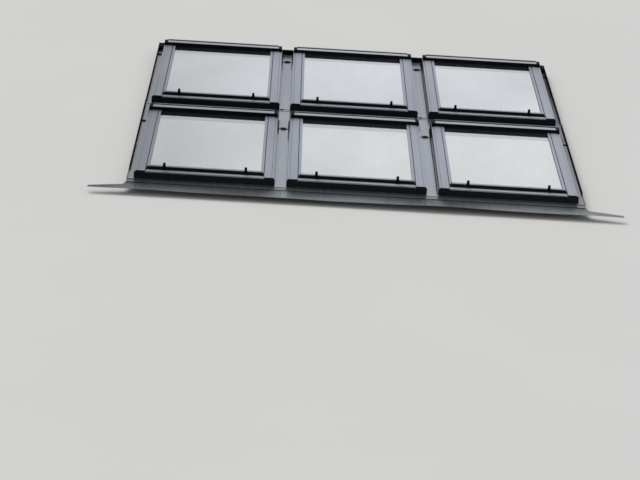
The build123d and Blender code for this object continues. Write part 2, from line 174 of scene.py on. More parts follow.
key_data = bpy.data.lights.new("key", "SUN")
key_data.energy = key_strength
key_data.angle = math.radians(key_spread)
key = bpy.data.objects.new("key", key_data)
key.rotation_euler = Euler([math.radians(a) for a in key_turn], "XYZ")
key.visible_glossy = False
bpy.context.scene.collection.objects.link(key)
print("key", key_strength)

# %% [markdown]
# ## Materials: shared effects
#
# An effect that several finishes use is a node group with its own inputs, which puts out colours,
# roughness and a height. It could be copied into each material instead, but then a change would
# have to be made in each. The shader stays in the material.

# %% Helpers for colours and noise


def blended(tree, factor, first, second, mode="MIX"):
    """Colour between the first and the second, or in another mode such as MULTIPLY."""
    node = add(tree, "ShaderNodeMix", data_type="RGBA", blend_type=mode)
    for socket, value in ((0, factor), (6, first), (7, second)):
        plug(tree, value, node.inputs[socket])
    return node.outputs[2]


def split(tree, vector):
    """The X, Y and Z of a vector."""
    node = add(tree, "ShaderNodeSeparateXYZ")
    tree.links.new(vector, node.inputs[0])
    return node.outputs


def stretched_noise(tree, vector, stretch, detail=3.0, roughness=0.55):
    """Noise read at the vector times the stretch, so a small number gives long marks."""
    mapping = fill(add(tree, "ShaderNodeMapping"), Scale=stretch)
    tree.links.new(vector, mapping.inputs["Vector"])
    noise = fill(add(tree, "ShaderNodeTexNoise"), Scale=1.0, Detail=detail, Roughness=roughness)
    tree.links.new(mapping.outputs["Vector"], noise.inputs["Vector"])
    return noise.outputs["Fac"]


def spread(tree, noise, low, high):
    """Noise keeps mostly between 0.3 and 0.7, and that part is spread from low to high."""
    return ranged(tree, noise, 0.3, 0.7, low, high)


# %% Helper for node groups


def new_group(name, inputs, outputs):
    """Node group with named sockets: inputs give (kind, value), outputs give the kind."""
    group = bpy.data.node_groups.new(name, "ShaderNodeTree")
    for socket, (kind, value) in inputs.items():
        item = group.interface.new_socket(socket, in_out="INPUT", socket_type="NodeSocket" + kind)
        if value is not None:
            item.default_value = value
    for socket, kind in outputs.items():
        group.interface.new_socket(socket, in_out="OUTPUT", socket_type="NodeSocket" + kind)
    inlet = add(group, "NodeGroupInput").outputs
    outlet = add(group, "NodeGroupOutput").inputs
    return group, inlet, outlet


# %% [markdown]
# Lacquered sheet outdoors is never one colour: rain leaves streaks down the slope, and dust dries
# on what faces up. Noise stretched down the slope gives the streaks. Faces that look sideways
# mirror darker things, and that is painted in: they take a darker side colour, a painted shade and
# reflection, and the surface's own normal tells its top from its sides. The colour is also painted
# darker by X towards the bank's left end and on the wings of its apron, a painted shade.

# %% Weathered sheet with painted shade
broad_stretch = (1.1, 0.7, 2.0)
rain_stretch = (34.0, 1.3, 20.0)
speck_stretch = (260.0, 260.0, 260.0)
broad_dark = (0.80, 0.80, 0.80, 1.0)
side_tilt = 0.70
top_tilt = 0.97
broad_in_marks = 0.6
marks_from = 0.68
dust_on_sides = 0.15
dust_roughness = 0.35
speck_roughness = 0.03
shade_from = -1.65
shade_to = -0.40
wing_from = 1.58
wing_to = 1.68
left_wing_tone = 0.45
right_wing_tone = 0.80

group, given, out = new_group(
    "dusty_sheet_with_painted_shade",
    {
        "Vector": ("Vector", None),
        "Up": ("Float", 1.0),
        "Colour": ("Color", (0.2, 0.2, 0.2, 1.0)),
        "Side Colour": ("Color", (0.05, 0.05, 0.05, 1.0)),
        "Dust Colour": ("Color", (0.4, 0.4, 0.38, 1.0)),
        "Dust": ("Float", 0.3),
        "Roughness": ("Float", 0.4),
        "Left Shade": ("Float", 0.64),
    },
    {"Colour": "Color", "Roughness": "Float", "Height": "Float"},
)
broad = stretched_noise(group, given["Vector"], broad_stretch)
streaks = stretched_noise(group, given["Vector"], rain_stretch, detail=5.0, roughness=0.65)
specks = stretched_noise(group, given["Vector"], speck_stretch, detail=2.0)

# Painted shade: faces that look sideways take the darker side colour.
facing_up = ranged(group, given["Up"], side_tilt, top_tilt, 0.0, 1.0)
lacquer_and_side_shade = blended(group, facing_up, given["Side Colour"], given["Colour"])
across = split(group, given["Vector"])["X"]
# Painted shade: darker towards the bank's left end and on both wings of the apron.
shade = ranged(group, across, shade_from, shade_to, given["Left Shade"], 1.0)
left_wing = ranged(group, across, -wing_to, -wing_from, left_wing_tone, 1.0)
right_wing = ranged(group, across, wing_from, wing_to, 1.0, right_wing_tone)
shade = joined(group, "MULTIPLY", shade, joined(group, "MULTIPLY", left_wing, right_wing))
shaded = add(group, "ShaderNodeVectorMath", operation="SCALE")
plug(group, lacquer_and_side_shade, shaded.inputs[0])
plug(group, shade, shaded.inputs["Scale"])
darker = blended(group, 1.0, shaded.outputs[0], broad_dark, "MULTIPLY")
plain = blended(group, spread(group, broad, 0.0, 1.0), darker, shaded.outputs[0])

marks = joined(group, "ADD", streaks, joined(group, "MULTIPLY", broad, broad_in_marks))
mask = joined(group, "MULTIPLY", ranged(group, marks, marks_from, 1.0, 0.0, 1.0), given["Dust"])
mask = joined(group, "MULTIPLY", mask, ranged(group, given["Up"], 0.1, 0.9, dust_on_sides, 1.0))
rough = joined(group, "ADD", given["Roughness"], joined(group, "MULTIPLY", mask, dust_roughness))
rough = joined(group, "ADD", rough, spread(group, specks, -speck_roughness, speck_roughness))
plug(group, blended(group, mask, plain, given["Dust Colour"]), out["Colour"])
plug(group, rough, out["Roughness"])
plug(group, specks, out["Height"])
print("group dusty_sheet_with_painted_shade:", len(group.nodes), "nodes")

# %% [markdown]
# Some sheets change down the slope, and the change is painted shade: the flashing is painted darker
# towards the head, and the back half of each hood is painted dark. The change is read from the
# surface's own Y coordinate, and noise can drift it, so that no straight band shows.

# %% Fade down the slope
drift_stretch = (3.0, 9.0, 9.0)

group, given, out = new_group(
    "fade_down_slope",
    {
        "Vector": ("Vector", None),
        "High": ("Float", 0.0),
        "Low": ("Float", -1.0),
        "High Colour": ("Color", (0.03, 0.03, 0.03, 1.0)),
        "Low Colour": ("Color", (0.1, 0.1, 0.1, 1.0)),
        "Drift": ("Float", 0.018),
    },
    {"Colour": "Color"},
)
drift = spread(group, stretched_noise(group, given["Vector"], drift_stretch), -1.0, 1.0)
drift = joined(group, "MULTIPLY", drift, given["Drift"])
place = joined(group, "ADD", split(group, given["Vector"])["Y"], drift)
share = ranged(group, place, given["High"], given["Low"], 0.0, 1.0)
plug(group, blended(group, share, given["High Colour"], given["Low Colour"]), out["Colour"])
print("group fade_down_slope:", len(group.nodes), "nodes")

# %% [markdown]
# Below each channel a paler strip is painted down the skirt, a painted reflection of the open sky
# that the skirt mirrors there. The distance from the channel's middle line decides where, and noise
# roughens the strip's edges.

# %% Painted sky strips
ragged_stretch = (50.0, 8.0, 8.0)
ragged_reach = 0.012

group, given, out = new_group(
    "painted_sky_strips",
    {
        "Vector": ("Vector", None),
        "Colour": ("Color", (0.1, 0.1, 0.1, 1.0)),
        "Washed Colour": ("Color", (0.3, 0.3, 0.3, 1.0)),
        "Middle": ("Float", 0.5),
        "Half Width": ("Float", 0.05),
        "Edge": ("Float", 0.02),
    },
    {"Colour": "Color"},
)
from_centre = joined(group, "ABSOLUTE", split(group, given["Vector"])["X"])
off = joined(group, "ABSOLUTE", joined(group, "SUBTRACT", from_centre, given["Middle"]))
ragged = stretched_noise(group, given["Vector"], ragged_stretch)
ragged = spread(group, ragged, -ragged_reach, ragged_reach)
inside = joined(group, "SUBTRACT", given["Half Width"], joined(group, "ADD", off, ragged))
sky_strip = ranged(group, inside, 0.0, given["Edge"], 0.0, 1.0)
plug(group, blended(group, sky_strip, given["Colour"], given["Washed Colour"]), out["Colour"])
print("group painted_sky_strips:", len(group.nodes), "nodes")

# %% [markdown]
# Timber has long fibres with darker late wood between them, and short pores. Noise stretched
# along the grain gives both. A Wave texture could draw the rings too, but its bands come out too
# even for narrow sawn bars.

# %% Timber grain
fibre_stretch = (90.0, 2.2, 90.0)
board_stretch = (5.0, 0.5, 5.0)
pore_stretch = (420.0, 14.0, 420.0)
boards_in_late = 0.35
late_from = 0.55
late_to = 0.85
late_most = 0.8
pore_from = 0.62
pore_to = 0.75
pore_most = 0.5
smooth_wood = 0.34
rough_wood = 0.48

group, given, out = new_group(
    "timber_grain",
    {
        "Vector": ("Vector", None),
        "Early Wood": ("Color", (0.60, 0.40, 0.22, 1.0)),
        "Late Wood": ("Color", (0.38, 0.22, 0.11, 1.0)),
    },
    {"Colour": "Color", "Roughness": "Float", "Height": "Float"},
)
fibres = stretched_noise(group, given["Vector"], fibre_stretch, detail=6.0, roughness=0.6)
boards = stretched_noise(group, given["Vector"], board_stretch, detail=2.0)
pores = stretched_noise(group, given["Vector"], pore_stretch, detail=2.0)
late = joined(group, "ADD", fibres, joined(group, "MULTIPLY", boards, boards_in_late))
late = ranged(group, late, late_from, late_to, 0.0, late_most)
wood = blended(group, late, given["Early Wood"], given["Late Wood"])
pore_marks = ranged(group, pores, pore_from, pore_to, 0.0, pore_most)
plug(group, blended(group, pore_marks, wood, given["Late Wood"]), out["Colour"])
plug(group, spread(group, pores, smooth_wood, rough_wood), out["Roughness"])
plug(group, joined(group, "ADD", fibres, joined(group, "MULTIPLY", pores, 0.5)), out["Height"])
print("group timber_grain:", len(group.nodes), "nodes")

# %% [markdown]
# Brushed and galvanised metal differ only in how their marks lie: long scratches on the control
# bar, small cloudy spangles on the brackets. One group gives both, by its Stretch input.

# %% Scratched metal
scratch_dark = (0.72, 0.72, 0.74, 1.0)
scratch_from = 0.35
scratch_to = 0.65
scratch_roughness = 0.08

group, given, out = new_group(
    "scratched_metal",
    {
        "Vector": ("Vector", None),
        "Colour": ("Color", (0.5, 0.5, 0.5, 1.0)),
        "Stretch": ("Vector", (10.0, 400.0, 400.0)),
        "Roughness": ("Float", 0.35),
    },
    {"Colour": "Color", "Roughness": "Float", "Height": "Float"},
)
stretched = add(group, "ShaderNodeVectorMath", operation="MULTIPLY")
plug(group, given["Vector"], stretched.inputs[0])
plug(group, given["Stretch"], stretched.inputs[1])
noise = fill(add(group, "ShaderNodeTexNoise"), Scale=1.0, Detail=4.0)
plug(group, stretched.outputs[0], noise.inputs["Vector"])
marks = noise.outputs["Fac"]
darker = blended(group, 1.0, given["Colour"], scratch_dark, "MULTIPLY")
bright = ranged(group, marks, scratch_from, scratch_to, 0.0, 1.0)
rough = spread(group, marks, -scratch_roughness, scratch_roughness)
plug(group, blended(group, bright, darker, given["Colour"]), out["Colour"])
plug(group, joined(group, "ADD", given["Roughness"], rough), out["Roughness"])
plug(group, marks, out["Height"])
print("group scratched_metal:", len(group.nodes), "nodes")

# %% [markdown]
# ## Materials: one for each finish
#
# A helper starts a material with its shader, its coordinates and one effect group. Values that
# are the same all over a surface are set on the shader's own sockets.

# %% Helpers for finishes


def finish(
    name, effect, values, bump=0.0, distance=0.0005, turn=None, fade=None, sky_strip=None, **shader_values
):
    """Material with one effect group in front of its shader, and before it, if wanted, a fade and
    painted sky strips that change the effect's colour."""
    material = bpy.data.materials.new(name)
    material.use_nodes = True
    tree = material.node_tree
    shader = tree.nodes["Principled BSDF"]
    place = add(tree, "ShaderNodeTexCoord").outputs["Object"]
    if turn:
        mapping = fill(add(tree, "ShaderNodeMapping"), Rotation=turn)
        tree.links.new(place, mapping.inputs["Vector"])
        place = mapping.outputs["Vector"]
    effect_node = add(tree, "ShaderNodeGroup", node_tree=bpy.data.node_groups[effect])
    tree.links.new(place, effect_node.inputs["Vector"])
    if "Up" in effect_node.inputs:
        normal = add(tree, "ShaderNodeNewGeometry").outputs["Normal"]
        tree.links.new(split(tree, normal)["Z"], effect_node.inputs["Up"])
    fill(effect_node, **values)
    colour = None
    for layer, layer_values in (("fade_down_slope", fade), ("painted_sky_strips", sky_strip)):
        if layer_values:
            layer_node = add(tree, "ShaderNodeGroup", node_tree=bpy.data.node_groups[layer])
            tree.links.new(place, layer_node.inputs["Vector"])
            fill(layer_node, **layer_values)
            if colour:
                tree.links.new(colour, layer_node.inputs["Colour"])
            colour = layer_node.outputs["Colour"]
    if colour:
        tree.links.new(colour, effect_node.inputs["Colour"])
    tree.links.new(effect_node.outputs["Colour"], shader.inputs["Base Color"])
    tree.links.new(effect_node.outputs["Roughness"], shader.inputs["Roughness"])
    if bump:
        relief = fill(add(tree, "ShaderNodeBump"), Strength=bump, Distance=distance)
        tree.links.new(effect_node.outputs["Height"], relief.inputs["Height"])
        tree.links.new(relief.outputs["Normal"], shader.inputs["Normal"])
    fill(shader, **shader_values)
    return material


def step_at(place, width, below, above):
    """Values of a fade with no drift: one colour below the place, another above place and width."""
    return {
        "High": place + width,
        "Low": place,
        "High_Colour": above,
        "Low_Colour": below,
        "Drift": 0.0,
    }


# %% [markdown]
# The sheet parts are lacquered aluminium in greys that differ by use. The covers are smooth and a
# little blue. The ledges and hoods hardly shine. Where a fold is finer than an edge of the solid
# part, such as the dark lip of a ledge or the end of a hood's front sheet, a narrow step in the
# colour draws its line. Another solid edge could do it, but not so finely. These steps are painted
# shade: the lip of each ledge is painted dark, and so are each hood's groove and back sheet. The
# ledges are painted paler than the covers to make up for the bar's shade, a painted light, and the
# two rows' hoods are lit and shaded copies, each in its own greys.

# %% Lacquered covers, ledges and hoods
dust_and_painted_shade = "dusty_sheet_with_painted_shade"
side = (0.042, 0.046, 0.052, 1.0)
dust = (0.42, 0.43, 0.42, 1.0)
grey = {"Side_Colour": side, "Dust_Colour": dust}
# Painted shade and light: the ledge's dark lip and its paler top.
painted_lip_shade = (0.020, 0.023, 0.028, 1)
ledge_painted_light = (0.395, 0.420, 0.465, 1)
ledge_lip = 0.0035
lip_step = 0.003
groove_step = 0.006

finishes = {}
finishes["cover_metal"] = finish(
    "lacquered_covers",
    dust_and_painted_shade,
    {**grey, "Colour": (0.272, 0.301, 0.378, 1), "Dust": 0.20, "Left_Shade": 0.56},
    bump=0.08,
    Metallic=0.35,
    IOR=1.5,
)
ledge_finishes = {}
for row in row_feet:
    ledge_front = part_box(row + "_sash_foot_covers")[0].y
    ledge_finishes[row] = finish(
        row + "_lacquered_ledges",
        dust_and_painted_shade,
        {**grey, "Dust": 0.15, "Roughness": 0.4, "Left_Shade": 0.70},
        bump=0.08,
        fade=step_at(ledge_front + ledge_lip, lip_step, painted_lip_shade, ledge_painted_light),
        Specular_IOR_Level=0.1,
    )
hood_finishes = {}
# Painted shade: each hood's groove and back sheet are dark, in greys of its own for each row.
for row, groove, front_sheet, back_sheet_shade in (
    ("lower", 0.060, (0.300, 0.322, 0.355, 1), (0.036, 0.041, 0.048, 1)),
    ("upper", 0.054, (0.345, 0.368, 0.405, 1), (0.014, 0.016, 0.019, 1)),
):
    hood_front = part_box(row + "_hoods")[0].y
    hood_finishes[row] = finish(
        row + "_lacquered_hoods",
        dust_and_painted_shade,
        {**grey, "Dust": 0.15, "Roughness": 0.32},
        bump=0.08,
        fade=step_at(hood_front + groove, groove_step, front_sheet, back_sheet_shade),
        Specular_IOR_Level=0.2,
    )
print("finishes of covers, ledges and hoods made")

# %% [markdown]
# The flashing and the apron shine like thin metal, so much of their tone is what they mirror. Down
# the slope some of it is painted shade: the flashing is painted darker towards the head, the skirt
# is painted dark near its turn under the apron and paler towards its edge, and the right side
# flashing, which lies in the shade of the covers, is painted nearly black at its head. The corner
# plates carry more dust. One grey for all would be simpler, but each lies differently to the light.

# %% Lacquered flashing and apron
finishes["flashing_metal"] = finish(
    "lacquered_flashing",
    dust_and_painted_shade,
    {**grey, "Dust": 0.20, "Roughness": 0.26, "Left_Shade": 0.50},
    bump=0.12,
    # Painted shade: darker towards the head.
    fade={
        "High": 1.10,
        "Low": -0.40,
        "High_Colour": (0.222, 0.246, 0.300, 1),
        "Low_Colour": (0.300, 0.330, 0.388, 1),
        "Drift": 0.1,
    },
    Metallic=0.75,
    IOR=1.5,
)
shaded_flashing = finish(
    "shaded_flashing",
    dust_and_painted_shade,
    {**grey, "Dust": 0.15, "Roughness": 0.5},
    bump=0.12,
    # Painted shade: nearly black at the head.
    fade={
        "High": 1.00,
        "Low": -0.70,
        "High_Colour": (0.012, 0.014, 0.017, 1),
        "Low_Colour": (0.350, 0.372, 0.402, 1),
        "Drift": 0.1,
    },
    Specular_IOR_Level=0.25,
)
finishes["apron_metal"] = finish(
    "lacquered_apron",
    dust_and_painted_shade,
    {**grey, "Colour": (0.185, 0.204, 0.218, 1), "Dust": 0.10, "Roughness": 0.30},
    bump=0.12,
    Metallic=0.75,
)
finishes["skirt_metal"] = finish(
    "pleated_metal",
    dust_and_painted_shade,
    {
        "Side_Colour": (0.100, 0.112, 0.118, 1),
        "Dust_Colour": dust,
        "Dust": 0.12,
        "Roughness": 0.34,
        "Left_Shade": 0.58,
    },
    bump=0.12,
    # Painted shade: dark near the turn under the apron, paler towards the edge.
    fade={
        "High": bank_foot - 0.070,
        "Low": bank_foot - 0.165,
        "High_Colour": (0.165, 0.184, 0.194, 1),
        "Low_Colour": (0.330, 0.364, 0.384, 1),
        "Drift": 0.018,
    },
    # Painted reflection: a paler strip down the skirt below each channel.
    sky_strip={
        "Washed_Colour": (0.580, 0.625, 0.645, 1),
        "Middle": column_pitch / 2,
        "Half_Width": 0.060,
        "Edge": 0.03,
    },
    Metallic=0.75,
)
finishes["corner_metal"] = finish(
    "corner_plates",
    dust_and_painted_shade,
    {
        **grey,
        "Colour": (0.222, 0.240, 0.259, 1),
        "Dust": 0.30,
        "Roughness": 0.45,
        "Left_Shade": 1.0,
    },
    bump=0.1,
    IOR=1.5,
)
print("finishes of flashing and apron made")

# %% [markdown]
# The front of each frame, the glazing bar, the hood's nose, the clips and the seals are black.
# Black shows gloss more than colour, so it is kept dull, with a trace of dust. Black lacquer that
# faces up is painted a dark grey and its sides black, painted light and shade from the open sky,
# and the glazing bar's top is painted grey behind its lip, which stays black.

# %% Black lacquer, plastic and rubber
pitch = (0.0050, 0.0068, 0.0118, 1.0)
black = {"Side_Colour": pitch, "Dust_Colour": (0.12, 0.12, 0.115, 1.0)}
bar_painted_highlight = (0.325, 0.338, 0.385, 1)
bar_lip = 0.0568

# Painted light: black lacquer's up-facing colour is a dark grey for the light of the sky.
for slot, name, colour, dusty, roughness, bump, shine in (
    ("black_metal", "black_lacquer", (0.235, 0.245, 0.280, 1), 0.15, 0.45, 0.1, 0.12),
    ("black_plastic", "black_moulding", (0.008, 0.009, 0.011, 1), 0.05, 0.50, 0.2, 0.02),
    ("seal_rubber", "gutter_rubber", (0.007, 0.007, 0.009, 1), 0.10, 0.75, 0.5, 0.02),
    ("seal", "glazing_rubber", (0.012, 0.012, 0.013, 1), 0.10, 0.60, 0.3, 0.12),
):
    values = {**black, "Colour": colour, "Dust": dusty, "Roughness": roughness}
    finishes[slot] = finish(name, dust_and_painted_shade, values, bump=bump, Specular_IOR_Level=shine)
bar_finishes = {}
# Painted light: the bar's top behind its lip is grey, and the lip stays black.
for row, foot in row_feet.items():
    bar_finishes[row] = finish(
        row + "_black_bars",
        dust_and_painted_shade,
        {**black, "Dust": 0.15, "Roughness": 0.45},
        bump=0.1,
        fade=step_at(foot + bar_lip, lip_step, pitch, bar_painted_highlight),
        Specular_IOR_Level=0.04,
    )
print("black finishes made")

# %% [markdown]
# The frames and sashes are clear-lacquered pine. The grain runs along each bar, so the rails use
# the same group turned a quarter about the vertical.

# %% Timber
wood_tones = {"Early_Wood": (0.66, 0.47, 0.28, 1), "Late_Wood": (0.44, 0.26, 0.13, 1)}
grain = {"bump": 0.25, "distance": 0.0004, "Coat_Weight": 0.3, "Coat_Roughness": 0.25}
finishes["timber"] = finish("pine_stiles", "timber_grain", wood_tones, **grain)
pine_rails = finish("pine_rails", "timber_grain", wood_tones, turn=(0, 0, math.pi / 2), **grain)
print("timber made")

# %% [markdown]
# The control bar is brushed aluminium, the brackets and pivot plates are galvanised steel, and a
# dull aluminium spacer shows between the panes. A picture of scratches could be laid on them, but
# noise never repeats and needs no file, so the three share one group with other numbers.

# %% Bare metal
for slot, name, colour, stretch, roughness in (
    ("bar_metal", "brushed_aluminium", (0.60, 0.61, 0.62, 1), (8.0, 500.0, 500.0), 0.32),
    ("zinc_steel", "galvanised_steel", (0.50, 0.51, 0.52, 1), (60.0, 60.0, 60.0), 0.45),
    ("spacer_metal", "spacer_aluminium", (0.42, 0.43, 0.44, 1), (90.0, 90.0, 300.0), 0.40),
):
    values = {"Colour": colour, "Stretch": stretch, "Roughness": roughness}
    finishes[slot] = finish(name, "scratched_metal", values, bump=0.1, distance=0.0002, Metallic=1.0)
print("bare metals made")

# %% [markdown]
# ## Glass
#
# From low down a coated pane is nearly a mirror: it shows the bright sky, and just below each
# hood it shows the hood's black front. Plain clear glass would show the inside of the frame
# instead. So the outer pane mixes mirror and clear glass, by a plain Metallic and Transmission,
# and faint dried streaks change its roughness. The second pane mirrors the hood once more, a
# little lower, and a darker strip painted on the outer pane stands for that, a painted reflection.
# The outer panes of the two rows are painted in different tints, the upper bluer, as painted
# reflection, and both are painted darker towards the left end, as painted shade. The inner pane is
# tinted clear glass.

# %% Panes
rim = (0.70, 0.76, 0.76, 1.0)
dried_streaks = (0.66, 0.68, 0.68, 1)
inner_tint = (0.92, 0.94, 0.92, 1)
strip_reach = 0.184
strip_step = 0.016

glass_finishes = {}
# Painted reflection and shade: a darker strip under each hood, a bluer upper row, a darker left end.
for row, clear, hood_reflection, left_shade in (
    ("lower", (0.870, 0.915, 0.935, 1), (0.640, 0.675, 0.685, 1), 0.74),
    ("upper", (0.855, 0.888, 0.950, 1), (0.640, 0.665, 0.710, 1), 0.68),
):
    strip_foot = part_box(row + "_hoods")[0].y - strip_reach
    glass_finishes[row] = finish(
        row + "_coated_glass",
        dust_and_painted_shade,
        {
            "Side_Colour": rim,
            "Dust_Colour": dried_streaks,
            "Dust": 0.12,
            "Roughness": 0.02,
            "Left_Shade": left_shade,
        },
        fade=step_at(strip_foot, strip_step, clear, hood_reflection),
        Metallic=0.6,
        Transmission_Weight=0.94,
        IOR=1.5,
    )
inner_glass = finish(
    "clear_glass",
    dust_and_painted_shade,
    {
        "Colour": inner_tint,
        "Side_Colour": inner_tint,
        "Dust_Colour": (0.8, 0.8, 0.78, 1),
        "Dust": 0.1,
        "Roughness": 0.01,
    },
    Transmission_Weight=1.0,
    IOR=1.5,
)
print("glass made")

# %% [markdown]
# ## Dressing the solid parts
#
# Each solid part comes with a named slot, and most take the finish of that name. A few need
# another: parts with a fold or a strip drawn in colour take one made for their row, because its
# place differs from row to row. Only the material in the slot changes, and the part's own mesh
# stays as the CAD made it.

# %% Dress the CAD parts
row_finishes = {
    "sash_foot_covers": ledge_finishes,
    "hoods": hood_finishes,
    "outer_panes": glass_finishes,
    "glazing_bars": bar_finishes,
}
own_finishes = {"inner_panes": inner_glass, "frame_rails": pine_rails, "sash_rails": pine_rails}
for part in subparts:
    row, _, piece = part["node"].partition("_")
    if part["node"] == "right_side_flashing":
        material = shaded_flashing
    elif piece in row_finishes:
        material = row_finishes[piece][row]
    elif piece in own_finishes:
        material = own_finishes[piece]
    else:
        material = finishes[part["material_slot"]]
    for held in nodes[part["node"]].material_slots:
        held.material = material
print("dressed", len(subparts), "parts")

# %% [markdown]
# ## Building surfaces from formulas
#
# Every new piece here is a grid of points: a formula gives all points at once as a numpy array,
# and this helper turns the grid into faces. Editing vertices by hand would give the same mesh,
# but a formula is easy to change.

# %% Helper for grids of points


def surface(name, grids, wrap=False):
    """One object from grids of points, each with the same rows and columns. Four neighbours make a
    face; wrap also joins the last point of each row to its first."""
    stack = np.stack(grids)
    rows, columns = stack.shape[1:3]
    index = np.arange(rows * columns).reshape(rows, columns)
    if wrap:
        index = np.concatenate([index, index[:, :1]], axis=1)
    corners = (index[:-1, :-1], index[:-1, 1:], index[1:, 1:], index[1:, :-1])
    quads = np.stack([c.ravel() for c in corners], axis=1)
    first = np.arange(len(stack)) * rows * columns
    mesh = bpy.data.meshes.new(name)
    mesh.from_pydata(stack.reshape(-1, 3), [], (first[:, None, None] + quads).reshape(-1, 4))
    mesh.update()
    piece = bpy.data.objects.new(name, mesh)
    bpy.context.scene.collection.objects.link(piece)
    return piece


# %% [markdown]
# ## The pleated skirt
#
# The front of the apron is soft aluminium in fine pleats, so that it can be dressed down over an
# uneven surface. Each pleat is a narrow fold that runs down the slope. A bump map would look flat
# from the side, so the pleats are real: the height follows a triangle wave across the slope.

# %% Sizes of the pleats and of the skirt's outline
skirt_low, skirt_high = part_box("apron_skirt")
flashing_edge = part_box("right_side_flashing")[1].x
pleat_pitch = 0.0096
pleat_depth = 0.0034
pleat_start = 0.1
sheet_gauge = 0.0007
points_per_pleat = 4
down_steps = 14
turn_from_foot = 0.062
turn_height = 0.0514
lap_under_apron = 0.012
skirt_drop = 0.009
skirt_sink = 0.0022
wing_end = 0.032
wing_depth = 0.078
wing_shoulder = 0.020
edge_spare = 0.003
side_spare = 0.0006
edge_lifts = (
    (0.62, 0.26, 0.007),
    (-1.50, 0.22, 0.004),
    (1.62, 0.16, 0.004),
    (-0.17, 0.18, -0.003),
)
print("skirt from", round(skirt_low.x, 3), "to", round(skirt_high.x, 3), "with", len(edge_lifts), "lifts")

# %% Pleated skirt


def ridden(x):
    """How far the edge lies up or down on an uneven surface: a sum of smooth bumps, each its
    height times the exponential of minus the square of the distance from its middle over its
    width."""
    lift = np.zeros_like(x)
    for middle, width, height in edge_lifts:
        lift += height * np.exp(-(((x - middle) / width) ** 2))
    return lift


def pleated_skirt():
    """Grid of points: x runs across, y down the slope. Each column starts under the apron's edge,
    or on the wings at the line of their cut corners, and ends at the skirt's edge. The height is
    the skirt's slow fall from its turn to its edge, less a sink that keeps the crests low, plus a
    triangle wave of x whose size grows over the first tenth, plus the lift of the edge."""
    pleats = int((skirt_high.x - skirt_low.x) / pleat_pitch)
    columns = pleats * points_per_pleat + 1
    across = np.linspace(skirt_low.x + side_spare, skirt_high.x - side_spare, columns)
    x, t = np.meshgrid(across, np.linspace(0.0, 1.0, down_steps))
    end = skirt_low.y + edge_spare
    top = bank_foot - turn_from_foot + lap_under_apron
    corner_x = [0.0, flashing_edge, flashing_edge + wing_shoulder, skirt_high.x]
    corner_y = [top, top, skirt_low.y + wing_depth, skirt_low.y + wing_end]
    start = np.interp(np.abs(x), corner_x, corner_y)
    y = start + (end - start) * t
    run = np.clip((top - y) / (top - end), 0.0, 1.0)
    phase = (x - skirt_low.x) / pleat_pitch
    fold = 2.0 * np.abs(2.0 * (phase - np.floor(phase + 0.5))) - 1.0
    grow = np.clip(run / pleat_start, 0.0, 1.0)
    plain_height = turn_height - skirt_drop * run - skirt_sink
    z = plain_height + 0.5 * pleat_depth * fold * grow + ridden(x) * run**2
    return np.stack([x, y, z], axis=2)


skirt = surface("apron_pleats", [pleated_skirt()])
skirt_gauge = skirt.modifiers.new("gauge", "SOLIDIFY")
skirt_gauge.thickness = sheet_gauge
skirt_gauge.offset = -1.0
skirt.data.materials.append(finishes["skirt_metal"])
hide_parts("apron_skirt")
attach(skirt, "root")
print("pleats:", len(skirt.data.polygons), "faces")

# %% [markdown]
# ## Dark strips of painted shade beside the channels
#
# A thin black strip lies between each cover and the channel and draws the dark line there, a
# painted shade that stands for the shade in the gap where the cover stops short of the channel.
# A curve with a bevel could make it, but a half round profile carried along a line takes a few
# lines of numpy, and all the strips share one mesh.

# %% Where the strips lie and how thick they are
shade_strip_radius = {
    ("lower", -1): 0.0030,
    ("lower", 1): 0.0030,
    ("upper", -1): 0.0019,
    ("upper", 1): 0.0026,
}
shade_strip_starts = {
    ("lower", -1, -1): 1.100,
    ("lower", -1, 1): 0.950,
    ("lower", 1, -1): 1.340,
    ("lower", 1, 1): 0.030,
    ("upper", -1, -1): 1.000,
    ("upper", -1, 1): 1.030,
    ("upper", 1, -1): 1.320,
    ("upper", 1, 1): 0.030,
}
shade_strip_short = 0.004
shade_strip_end = frame_length - shade_strip_short
shade_strip_from_middle = 0.037
shade_strip_rise = 1.8
shade_strip_waver = 0.0008
wavers_along = 9.0
wavers_between = 40.0
shade_strip_steps = 40
profile_points = 12
around = np.linspace(0.0, 2.0 * math.pi, profile_points, endpoint=False)
print(len(shade_strip_starts), "strips, each ends", round(shade_strip_end, 3), "above the foot of its row")

# %% Channel shade strips


def half_round(start, end, middle, base, radius):
    """Grid of points for a strip along Y: s runs from start to end, and angle t once around the
    profile. x is the middle less radius times the cosine of t, z is the base plus radius times
    the rise times the sine of t where that is above nought, so the underside is flat. The radius
    is nought at both tips, which closes them, and the middle wavers by a small sine of s."""
    s = np.concatenate([[start], np.linspace(start, end, shade_strip_steps), [end]])
    size = np.full(len(s), radius)
    size[[0, -1]] = 0.0
    waver = shade_strip_waver * np.sin(wavers_along * s + wavers_between * middle)
    x = middle + waver[:, None] - size[:, None] * np.cos(around)
    y = np.repeat(s[:, None], len(around), axis=1)
    z = base + size[:, None] * np.maximum(np.sin(around), 0.0) * shade_strip_rise
    return np.stack([x, y, z], axis=2)


strips = []
for (row, channel, hand), start in shade_strip_starts.items():
    foot = row_feet[row]
    pan_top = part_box(row + "_channel_pans")[1].z
    middle = channel * column_pitch / 2 + hand * shade_strip_from_middle
    radius = shade_strip_radius[row, channel]
    strips.append(half_round(foot + start, foot + shade_strip_end, middle, pan_top, radius))
# Painted shade: black strips that draw the shade line beside each channel.
shade_strips = surface("channel_shade_strips", strips, wrap=True)
shade_strips.data.materials.append(finishes["seal_rubber"])
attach(shade_strips, "root")
print("channel seals:", len(shade_strips.data.polygons), "faces")

# %% [markdown]
# Where the upper row's channel laps over the lower one, a black bead closes the lap and swells
# where it was pressed out. Its profile is half round too, but its size changes along its length.

